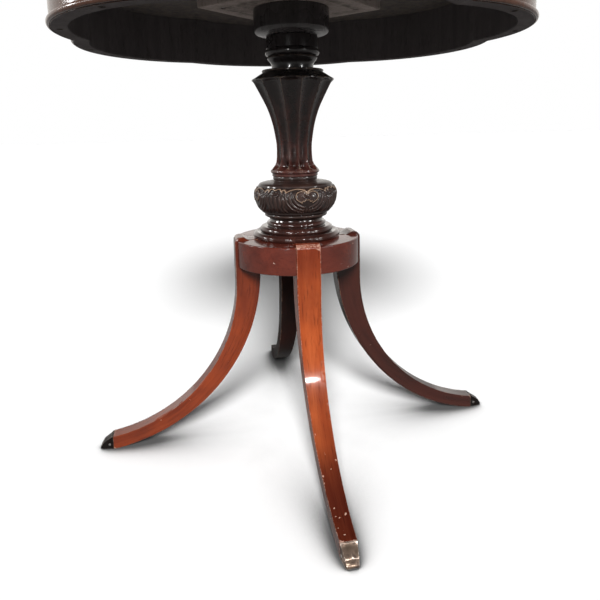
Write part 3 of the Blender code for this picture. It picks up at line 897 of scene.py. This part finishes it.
def fluteVase(body):
    points = readPoints(body)
    reach = np.hypot(points[:, 0], points[:, 1])
    sway = (np.arctan2(points[:, 1], points[:, 0]) - vase["turn"]) * vase["flutes"] / math.tau
    side = np.abs(2 * (sway - np.floor(sway)) - 1)  # 0 in the middle of a hollow, 1 on an arris
    arch = 1 - np.sqrt(np.clip(1 - side**2, 0, 1))
    z = points[:, 2]
    fromTop = (vase["high"] - vase["archHigh"] * arch - z) / 0.0035
    fromFoot = (z - vase["low"] - vase["archLow"] * arch) / 0.004
    fade = np.clip(np.minimum(fromTop, fromFoot), 0, 1)
    fade = fade * fade * (3 - 2 * fade)
    outside = reach > 0.02
    hollow = (1 - side**2.4) * fade * outside
    scoop = vase["scoop"] * np.exp(-(((z - vase["scoopHeight"]) / 0.0085) ** 2))
    scale = 1 - (vase["depth"] + scoop) * hollow
    points[:, :2] *= scale[:, None]
    writePoints(body, points)
    inFlutes = (z < vase["high"] + 0.002) & (z > vase["low"] - 0.001) & outside
    return np.where(inFlutes, np.clip((side - 0.72) / 0.28, 0, 1) ** 1.5, 0), np.where(inFlutes, hollow, 0)


def makeVase():
    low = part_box("vase_turning")[0].z
    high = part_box("neck_turning")[0].z - 0.0003
    outside = [(0.0400, high), (0.0474, high - 0.0002)]
    outside += [*arcPoints((0.0466, 0.5894), 0.0014, 60, -75, 6), (0.0466, 0.5874)]
    outside += curveThrough([(0.0480, 0.5866), (0.0510, 0.5848), (0.0585, 0.5800), (0.0630, 0.5774)], 4)
    outside += [(0.0640, 0.5768), (0.0642, 0.5760), (0.0641, 0.5750), (0.0636, 0.5744)]
    body = [(0.0628, 0.5736), (0.0508, 0.5510), (0.0416, 0.5320), (0.0342, 0.5090), (0.0298, 0.4850)]
    body += [(0.0287, 0.4720), (0.0293, 0.4560), (0.0318, 0.4465), (0.0372, 0.4385)]
    outside += curveThrough(body, 9)
    outside += [(0.0384, 0.4372), *arcPoints((0.0374, 0.4348), 0.0016, 45, -60, 5)]
    outside += [(0.0362, 0.4320), (0.0362, low)]
    vaseBody = turnPiece("vaseTurning", withBore(outside, low, high), vase["steps"], 60)
    arris, deep = fluteVase(vaseBody)
    smoothShade(vaseBody, 50)
    finishPiece(vaseBody, "dark_mahogany", "vase_turning", vaseWood)
    # the arrises become ridges, which take rubbed wear and a painted highlight line, and the flute hollows
    # take painted shade
    ridge = readValues(vaseBody, "ridge")
    plain = ridge * (deep == 0) * (arris == 0)
    storeValues(vaseBody, "ridge", np.maximum(ridge * (arris > 0), arris) + plain)
    storeValues(vaseBody, "hollow", deep)


bulb = {"steps": 720, "turn": math.radians(6.0), "sink": 0.0018}


def strokeHeights(x, y, lines):
    # the highest raised stroke at each point: a line has points of place, half width and rise, all in metres
    best = np.full(x.shape, -1.0)
    for line in lines:
        for (x0, y0, w0, h0), (x1, y1, w1, h1) in zip(line, line[1:]):
            dx, dy = x1 - x0, y1 - y0
            t = np.clip(((x - x0) * dx + (y - y0) * dy) / (dx * dx + dy * dy + 1e-12), 0, 1)
            gap = np.hypot(x - x0 - t * dx, y - y0 - t * dy)
            width = w0 + (w1 - w0) * t
            rise = h0 + (h1 - h0) * t
            best = np.maximum(best, rise * np.sqrt(np.clip(1 - (gap / width) ** 2, 0, 1)) - (gap > width))
    return np.maximum(best, 0.0)


def brush(points, width, rise, steps=6, thinStart=1.0, thinEnd=0.4):
    # a smooth stroke through points given in millimetres, thinner at its ends
    curve = curveThrough([(px, py, 0.0) for px, py in points], steps)
    line = []
    for k, (px, py, _) in enumerate(curve):
        share = k / (len(curve) - 1)
        thin = 1 - (1 - thinEnd) * max(0, share - 0.5) * 2
        if share < 0.3:
            thin = thinStart + (1 - thinStart) * share / 0.3
        line.append((px / 1000, py / 1000, width * thin / 1000, rise * (0.5 + 0.5 * thin) / 1000))
    return line


def cartoucheLines():
    # one half of a scroll panel, 52 mm wide, measured from its centre line and down from the crown
    strokes = [
        ([(0, 9.5), (2.4, 6.6), (6, 4.4), (12, 2.8), (18, 2.9), (26, 5.0), (33, 8.6)], 2.1, 2.4, 6, 1, 0.7),
        ([(33, 8.6), (35, 5.2), (38, 4.2), (40.5, 7.5), (39, 11)], 2.0, 2.4, 6, 1, 0.6),
        ([(40.5, 7.5), (43, 3.4), (47, 2.6), (52, 5.6)], 2.0, 2.4, 6, 1, 0.8),
    ]
    # a broad round lobe with a thin raised rim, whose pale colour is rubbed wear and a painted highlight, and
    # small curls inside
    rim = [(1.2, 11.2), (4.2, 8.2), (8.6, 7.0), (13.4, 8.0), (16.8, 11.2), (17.6, 15.6), (15.8, 19.6)]
    strokes += [
        ([(7.2, 13.6), (10.2, 15.4), (9.4, 17.2)], 6.6, 0.75, 4, 1, 1),
        ([*rim, (12.0, 22.4), (8.6, 24.8)], 1.15, 2.5, 5, 0.8, 0.9),
        ([(8.6, 24.8), (7.4, 21.6), (4.6, 22.6), (2.8, 19.8), (0, 20.4)], 1.1, 2.3, 4, 0.9, 0.9),
        ([(0.6, 13.4), (3.2, 12.0), (6.2, 12.6), (7.0, 15.4), (4.6, 17.0), (2.4, 15.6)], 1.1, 2.0, 4, 1, 0.8),
        ([(0, 11.0), (0, 15.0)], 1.6, 2.0, 3, 1, 0.7),
        ([(52, 12.0), (49.2, 9.6), (46.8, 12.4), (49.0, 14.8)], 1.3, 2.0, 4, 0.9, 0.7),
    ]
    # broad veins that hang round the lobes, toothed tips below and folds between the panels
    turns = [math.radians(a) for a in range(-22, 83, 10)]
    for wide, deep, thick in ((22.0, 17.0, 2.6), (28.2, 22.4, 2.5), (34.0, 27.6, 2.0)):
        sweep = [(wide * math.cos(a), 16 + deep * math.sin(a)) for a in turns]
        strokes.append((sweep, thick, 1.8, 3, 0.5, 0.5))
    for px, py in ((0, 36.5), (5.0, 38.0), (10.0, 36.8), (15.0, 34.6)):
        tip = [(px * 1.3, py + 6.0), (px * 1.12, py + 2.4), (px, py - 2.6)]
        strokes.append((tip, 1.9, 1.7, 4, 0.7, 0.25))
    for px, bow, thick in ((52.0, 0.0, 2.6), (45.6, 1.8, 2.3), (39.4, 2.2, 2.1)):
        fold = [(px, 16), (px - bow, 25), (px - 0.4 * bow, 34), (px - 3.2 * bow, 43)]
        strokes.append((fold, thick, 1.7, 5, 0.5, 0.4))
    return [brush(*stroke) for stroke in strokes]


def bulbProfile(low, high):
    band = [(0.0344, high), (0.0352, high - 0.0010), (0.0352, 0.4232), (0.0346, 0.4224)]
    shoulder = [(0.0360, 0.4216), (0.0400, 0.4202), (0.0500, 0.4190), (0.0572, 0.4168), (0.0590, 0.4140)]
    body = [(0.0592, 0.4132), (0.0630, 0.4105), (0.0660, 0.4020), (0.0657, 0.3920), (0.0615, 0.3800)]
    body = curveThrough([*body, (0.0545, 0.3720)], 18)
    foot = [(0.0520, 0.3706), (0.0500, 0.3698), *arcPoints((0.0474, 0.3672), 0.0028, 70, -60, 7)]
    foot += curveThrough([(0.0478, 0.3645), (0.0445, 0.3634), (0.0428, low)], 3)
    return [*band, *curveThrough(shoulder, 4), *body, *foot], body


def makeBulb():
    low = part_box("bulb_turning")[0].z
    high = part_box("vase_turning")[0].z - 0.0003
    outside, body = bulbProfile(low, high)
    carving = turnPiece("carvedBulb", withBore(outside, low, high), bulb["steps"], 60)
    points = readPoints(carving)
    reach = np.hypot(points[:, 0], points[:, 1])
    line = np.array(body)
    lengths = np.concatenate([[0], np.cumsum(np.hypot(*np.diff(line, axis=0).T))])
    on = (reach > 0.05) & (points[:, 2] < body[0][1] + 0.0001) & (points[:, 2] > body[-1][1] - 0.0001)
    down = np.interp(-points[:, 2], -line[:, 1], lengths)
    bearing = np.arctan2(points[:, 1], points[:, 0])
    quarter = (bearing - bulb["turn"] + math.pi / 4) % (math.pi / 2) - math.pi / 4
    x = np.abs(quarter) * 52 / 45 / math.radians(1) / 1000
    rise = np.zeros(len(points))
    rise[on] = strokeHeights(x[on], down[on], cartoucheLines())
    inside = on & (rise == 0)
    tooled = 0.00022 * np.sin(x * 2600) * np.sin(down * 2900)
    rise[inside] = tooled[inside]
    edgeFade = np.clip(np.minimum(down, lengths[-1] - down) / 0.003, 0, 1)
    push = (rise - bulb["sink"]) * edgeFade * on
    scale = (reach + push) / np.maximum(reach, 1e-6)
    points[:, :2] *= scale[:, None]
    writePoints(carving, points)
    smoothShade(carving, 60)
    finishPiece(carving, "dark_mahogany", "bulb_turning", carvedWood)
    # raised crests take rubbed wear and painted highlights, and the low ground between strokes takes painted
    # shade
    crest = np.clip((rise - 0.0009) / 0.0013, 0, 1)
    storeValues(carving, "ridge", np.where(on, crest, readValues(carving, "ridge") * 0.3))
    storeValues(carving, "hollow", np.where(on, np.clip(1 - rise / 0.0006, 0, 1), 0))


def makeBaseMoulding():
    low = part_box("base_moulding")[0].z
    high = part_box("bulb_turning")[0].z - 0.0003
    outside = [(0.0415, high), (0.0418, 0.3590), (0.0430, 0.3566)]
    outside += arcPoints((0.0440, 0.3530), 0.0035, 80, -55, 9)
    outside += [(0.0462, 0.3494), (0.0475, 0.3490)]
    outside += arcPoints((0.0530, 0.3437), 0.0056, 100, -48, 10)
    outside += [(0.0566, 0.3384)]
    outside += arcPoints((0.0642, 0.3362), 0.0046, 125, 30, 6)
    outside += arcPoints((0.0632, 0.3350), 0.0068, 18, -48, 7)
    outside += [(0.0672, low + 0.0006), (0.0660, low)]
    moulding = turnPiece("baseMoulding", withBore(outside, low, high), 128)
    finishPiece(moulding, "dark_mahogany", "base_moulding", baseMouldWood)


makeCollar()
makeNeck()
makeVase()
makeBulb()
makeBaseMoulding()
print("column made")


# Platform

platform = {
    "radius": 0.0995,
    "top": 0.330,
    "edge": 0.0016,
    "slot": 0.0361,
    "slotReach": 0.0627,
    "recess": 0.0145,
    "recessDepth": 0.014,
}


def makePlatform():
    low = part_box("platform")[0].z
    high, edge, recess = platform["top"], platform["edge"], platform["recess"]
    bottom = low + platform["recessDepth"]
    rim = platform["radius"] - edge
    outside = [(rim, high), *arcPoints((rim, high - edge), edge, 80, 0, 4)]
    outside += [*arcPoints((rim, low + edge), edge, 0, -90, 4), (recess, low), (recess, bottom)]
    disc = turnPiece("platformDisc", withBore(outside, bottom, high), 144)
    for angle in (0, 90, 180, 270):
        turn = math.radians(angle)
        middle = platform["slotReach"] + 0.03
        clearPick()
        spot = (middle * math.cos(turn), middle * math.sin(turn), 0.31)
        bpy.ops.mesh.primitive_cube_add(size=1.0, location=spot, rotation=(0, 0, turn))
        tool = bpy.context.object
        tool.scale = (0.06, platform["slot"], 0.08)
        bpy.ops.object.transform_apply()
        cutWith(disc, tool)
    smoothShade(disc, 30)
    finishPiece(disc, "gloss_mahogany", "platform", platformWood)


makePlatform()


# Legs

leg = {
    "out": 0.1015,
    "in": 0.063,
    "outRadius": 0.2445,
    "outHeight": 0.262,
    "inRadius": 0.289,
    "inHeight": 0.285,
    "widthTop": 0.0355,
    "widthToe": 0.0216,
    "joint": 0.3085,
    "knuckle": 0.005,
    "knuckleRound": 0.009,
    "knuckleIn": 0.079,
    "rows": 110,
    "ease": 0.0013,
}
legCentre = (leg["out"] + leg["outRadius"], leg["outHeight"])
legSides = {"front": -90.0, "right": 0.0, "back": 90.0, "left": 180.0}


def evenly(curve, shares):
    line = np.array(curve)
    along = np.concatenate([[0], np.cumsum(np.hypot(*np.diff(line, axis=0).T))])
    return np.column_stack([np.interp(shares * along[-1], along, line[:, i]) for i in (0, 1)])


def legCurves():
    top = platform["top"] + leg["knuckle"]
    soft = leg["knuckleRound"]
    outer = arcPoints((leg["out"] - soft, top - soft), soft, 90, 0, 12)
    outEnd = 180 + math.degrees(math.acos((legCentre[0] - leg["joint"]) / leg["outRadius"]))
    outer += arcPoints(legCentre, leg["outRadius"], 180, outEnd, 60)
    inCentre = (leg["in"] + leg["inRadius"], leg["inHeight"])
    inEnd = 180 + math.degrees(math.asin(leg["inHeight"] / leg["inRadius"]))
    inner = arcPoints(inCentre, leg["inRadius"], 180, inEnd, 60)
    return outer, [(leg["in"], platform["top"]), *inner, (leg["joint"], 0.0)]


def turnedCopy(shape, name, angle):
    copy = shape.copy()
    copy.data = shape.data.copy()
    copy.name = name
    bpy.context.scene.collection.objects.link(copy)
    copy.data.transform(Matrix.Rotation(math.radians(angle), 4, "Z"))
    return copy


def makeLegShape():
    outer, inner = legCurves()
    block = sliceBlock("legShape", (leg["rows"], 6, 4))
    grid = readPoints(block)
    u, v, w = grid[:, 0], grid[:, 1], grid[:, 2]
    outside = evenly(outer, u)
    inside = evenly(inner, u)
    reach = inside[:, 0] + (outside[:, 0] - inside[:, 0]) * v
    height = inside[:, 1] + (outside[:, 1] - inside[:, 1]) * v
    # the end rises from the platform's level to the knuckle
    step = np.clip((reach - leg["knuckleIn"]) / 0.009, 0, 1)
    onTop = platform["top"] + leg["knuckle"] * step * step * (3 - 2 * step)
    height = np.where((u == 0) & (v < 1), onTop, height)
    bend = np.arctan2(np.maximum(0, leg["outHeight"] - height), leg["out"] + leg["outRadius"] - reach)
    share = np.minimum(1, bend / (math.pi / 2 * 0.9))
    width = leg["widthTop"] + (leg["widthToe"] - leg["widthTop"]) * share
    writePoints(block, np.column_stack([reach, (w - 0.5) * width, height]))
    storeValues(block, "sweep", np.column_stack([u * 0.42, v * 0.03, w * 0.03]), "FLOAT_VECTOR")
    easeEdges(block, leg["ease"], 3, 55)
    smoothShade(block, 32)
    return block


def makeLegs():
    shape = makeLegShape()
    for k, (side, angle) in enumerate(legSides.items()):
        copy = turnedCopy(shape, f"leg{side.title()}", angle)
        layer = copy.data.attributes["sweep"]
        values = np.empty(len(copy.data.vertices) * 3)
        layer.data.foreach_get("vector", values)
        layer.data.foreach_set("vector", (values.reshape(-1, 3) + 0.37 * k).ravel())
        finishPiece(copy, "gloss_mahogany", f"leg_{side}", legWoods[side])
    bpy.data.objects.remove(shape, do_unlink=True)


makeLegs()
print("legs made")


# Toe caps and their pins

toe = {
    "tip": 0.329,
    "tipWidth": 0.0165,
    "crownTip": 0.0112,
    "pinReach": 0.3145,
    "pinHeight": 0.0075,
    "pinRadius": 0.0019,
    "ease": 0.0012,
}


def makeCapShape():
    block = sliceBlock("capShape", (10, 8, 6))
    grid = readPoints(block)
    u, v, w = grid[:, 0], grid[:, 1], grid[:, 2]
    start = leg["joint"] + 0.0003
    crown = legCentre[1] - math.sqrt(leg["outRadius"] ** 2 - (legCentre[0] - start) ** 2)
    length = toe["tip"] - start
    # a raised collar at the back, then a slope to a blunt rounded nose
    slope = crown - 0.0012 + (toe["crownTip"] - crown) * np.clip((u - 0.12) / 0.7, 0, 1)
    slope = np.where(u < 0.15, crown, slope)
    nose = np.clip((u - 0.78) / 0.22, 0, 1)
    top = slope - 0.0040 * nose**2
    back = start + length * u
    reach = back - 0.0022 * nose * (2 * v - 0.9) ** 2
    width = leg["widthToe"] + (toe["tipWidth"] - leg["widthToe"]) * u
    width = width - 0.0012 * nose**2 - np.where(u < 0.15, 0.0, 0.0008)
    ridge = 0.0010 * np.clip(1 - np.abs(2 * w - 1) / 0.5, 0, 1) * np.clip((u - 0.12) * 8, 0, 1) * (1 - nose)
    writePoints(block, np.column_stack([reach, (w - 0.5) * width, v * (top + ridge * v)]))
    easeEdges(block, toe["ease"], 2, 50)
    smoothShade(block, 38)
    return block


def makePinShape():
    clearPick()
    bpy.ops.mesh.primitive_cylinder_add(
        radius=toe["pinRadius"],
        depth=leg["widthToe"] + 0.0002,
        vertices=24,
        rotation=(math.pi / 2, 0, 0),
        location=(toe["pinReach"], 0, toe["pinHeight"]),
    )
    pin = openPiece("pinShape")
    bpy.ops.object.mode_set(mode="OBJECT")
    bpy.ops.object.transform_apply()
    easeEdges(pin, 0.0006, 3, 50)
    smoothShade(pin, 38)
    return pin


def makeToes():
    cap, pin = makeCapShape(), makePinShape()
    for side, angle in legSides.items():
        metal = brass if side == "front" else blackBrass
        finishPiece(turnedCopy(cap, f"toeCap{side.title()}", angle), "aged_brass", f"toe_cap_{side}", metal)
        finishPiece(turnedCopy(pin, f"toePin{side.title()}", angle), "steel", f"toe_cap_pin_{side}", steel)
    for shape in (cap, pin):
        bpy.data.objects.remove(shape, do_unlink=True)


makeToes()
print("toes made")


# CAD nodes that stay in view

def dress(start, finish):
    for name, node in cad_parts.items():
        if name.startswith(start):
            node.data.materials.clear()
            node.data.materials.append(finish)


steelNodes = ("apron_screw", "plate_screw", "tie_rod", "top_washer", "top_nut", "bottom_washer", "bottom_nut")
for start in steelNodes:
    dress(start, steel)
dress("leg_dowel", beechWood)


# Floor, light and camera

def makeFloor():
    clearPick()
    bpy.ops.mesh.primitive_plane_add(size=60.0, location=(0, 0, -0.0002))
    floor = bpy.context.object
    floor.name = "studioFloor"
    material, tree, shader = openMaterial("paleFloor")
    spot = place(tree, "ShaderNodeTexCoord", -900, 0).outputs["Object"]
    cloud = noise(tree, -700, 0, spot, 1.5).outputs["Fac"]
    pale = mixColour(tree, -500, 0, cloud, (0.97, 0.97, 0.97), (0.98, 0.98, 0.98))
    # painted contact shadow: ambient occlusion darkens the floor's colour near the legs and under the table
    contact = place(tree, "ShaderNodeAmbientOcclusion", -900, -300, samples=24)
    contact.inputs["Distance"].default_value = 0.15
    shade = ramp(tree, -700, -300, contact.outputs["AO"], 0.55, 0.99)
    pale = mixColour(tree, -400, 0, shade, (0.10, 0.10, 0.10), pale)
    path = place(tree, "ShaderNodeLightPath", -500, 300)
    seen = mixColour(tree, -300, 0, path.outputs["Is Camera Ray"], (0.36, 0.35, 0.34), pale)
    tree.links.new(seen, shader.inputs["Base Color"])
    shader.inputs["Roughness"].default_value = 0.9
    shader.inputs["Specular IOR Level"].default_value = 0.0
    floor.data.materials.append(material)


# a light's turn is in degrees from the front of the table, and its height is in degrees too
sun = {"turn": -9.8, "height": 32.0, "spread": 19.0, "strength": 5.9}
lamps = {
    "distance": 2.6,
    "radiance": 42.0,
    # turn from the front, height, radius, share of the radiance: they only show as reflections
    "places": (
        (-106, 24, 0.20, 1.0), (-84, 26, 0.20, 1.0), (-37, 28, 0.18, 1.0), (11, 31, 0.065, 9.0),
        (30, 26, 0.18, 1.0), (59, 25, 0.20, 1.0), (-27, 11, 0.15, 1.6), (44, 12, 0.15, 1.2),
    ),
}


def aimLight(name, data, turn, height):
    light = bpy.data.objects.new(name, data)
    bpy.context.scene.collection.objects.link(light)
    turn, height = math.radians(turn), math.radians(height)
    flat = math.cos(height)
    away = Vector((math.sin(turn) * flat, -math.cos(turn) * flat, math.sin(height)))
    light.rotation_euler = away.to_track_quat("Z", "Y").to_euler()
    return light, away


def makeLights():
    data = bpy.data.lights.new("key", "SUN")
    data.energy = sun["strength"]
    data.angle = math.radians(sun["spread"])
    key, away = aimLight("key", data, sun["turn"], sun["height"])
    key.visible_glossy = False
    middle = Vector((0.0, -0.1, 0.2))
    for k, (turn, height, radius, share) in enumerate(lamps["places"]):
        data = bpy.data.lights.new(f"lamp{k + 1}", "AREA")
        data.shape = "DISK"
        data.size = 2 * radius
        data.energy = lamps["radiance"] * share * (math.pi * radius) ** 2
        lamp, away = aimLight(f"lamp{k + 1}", data, turn, height)
        lamp.visible_diffuse = False
        lamp.location = middle + away * lamps["distance"]


room = {
    "front": (0.10, 0.10, 0.10),
    "back": (1.05, 1.01, 0.96),
    "above": (0.16, 0.155, 0.15),
    "fill": (0.09, 0.09, 0.09),
}


def makeWorld():
    # a room that is brighter behind the table and overhead than in front of it
    world = bpy.data.worlds.new("studio")
    bpy.context.scene.world = world
    world.use_nodes = True
    tree = world.node_tree
    back = tree.nodes["Background"]
    coords = place(tree, "ShaderNodeTexCoord", -1200, 0)
    way = splitParts(tree, "XYZ", -1000, 0, coords.outputs["Generated"])
    behind = ramp(tree, -800, 0, way[1], -0.30, 0.60)
    upward = ramp(tree, -800, -300, way[2], 0.32, 0.62)
    around = mixColour(tree, -600, 0, behind, room["front"], room["back"])
    around = mixColour(tree, -450, 0, upward, around, room["above"])
    path = place(tree, "ShaderNodeLightPath", -600, 300)
    around = mixColour(tree, -450, 300, path.outputs["Is Diffuse Ray"], around, room["fill"])
    seen = mixColour(tree, -300, 0, path.outputs["Is Camera Ray"], around, (1.0, 1.0, 1.0))
    tree.links.new(seen, back.inputs["Color"])


cameraPlace = {
    "stands": (-0.1500, -0.8721, 0.5009),
    "heading": 10.158,
    "pitch": 9.349,
    "roll": 1.335,
    "lens": 33.17,
    "rise": -0.1333,
}


def makeCamera():
    data = bpy.data.cameras.new("camera")
    data.lens = cameraPlace["lens"]
    data.shift_y = cameraPlace["rise"]
    camera = bpy.data.objects.new("camera", data)
    bpy.context.scene.collection.objects.link(camera)
    turn = Matrix.Rotation(-math.radians(cameraPlace["heading"]), 4, "Z")
    tilt = Matrix.Rotation(math.pi / 2 - math.radians(cameraPlace["pitch"]), 4, "X")
    roll = Matrix.Rotation(-math.radians(cameraPlace["roll"]), 4, "Z")
    camera.matrix_world = Matrix.Translation(cameraPlace["stands"]) @ turn @ tilt @ roll
    bpy.context.scene.camera = camera


makeFloor()
makeLights()
makeWorld()
makeCamera()
bpy.context.scene.view_settings.view_transform = "Standard"
print("stage made")
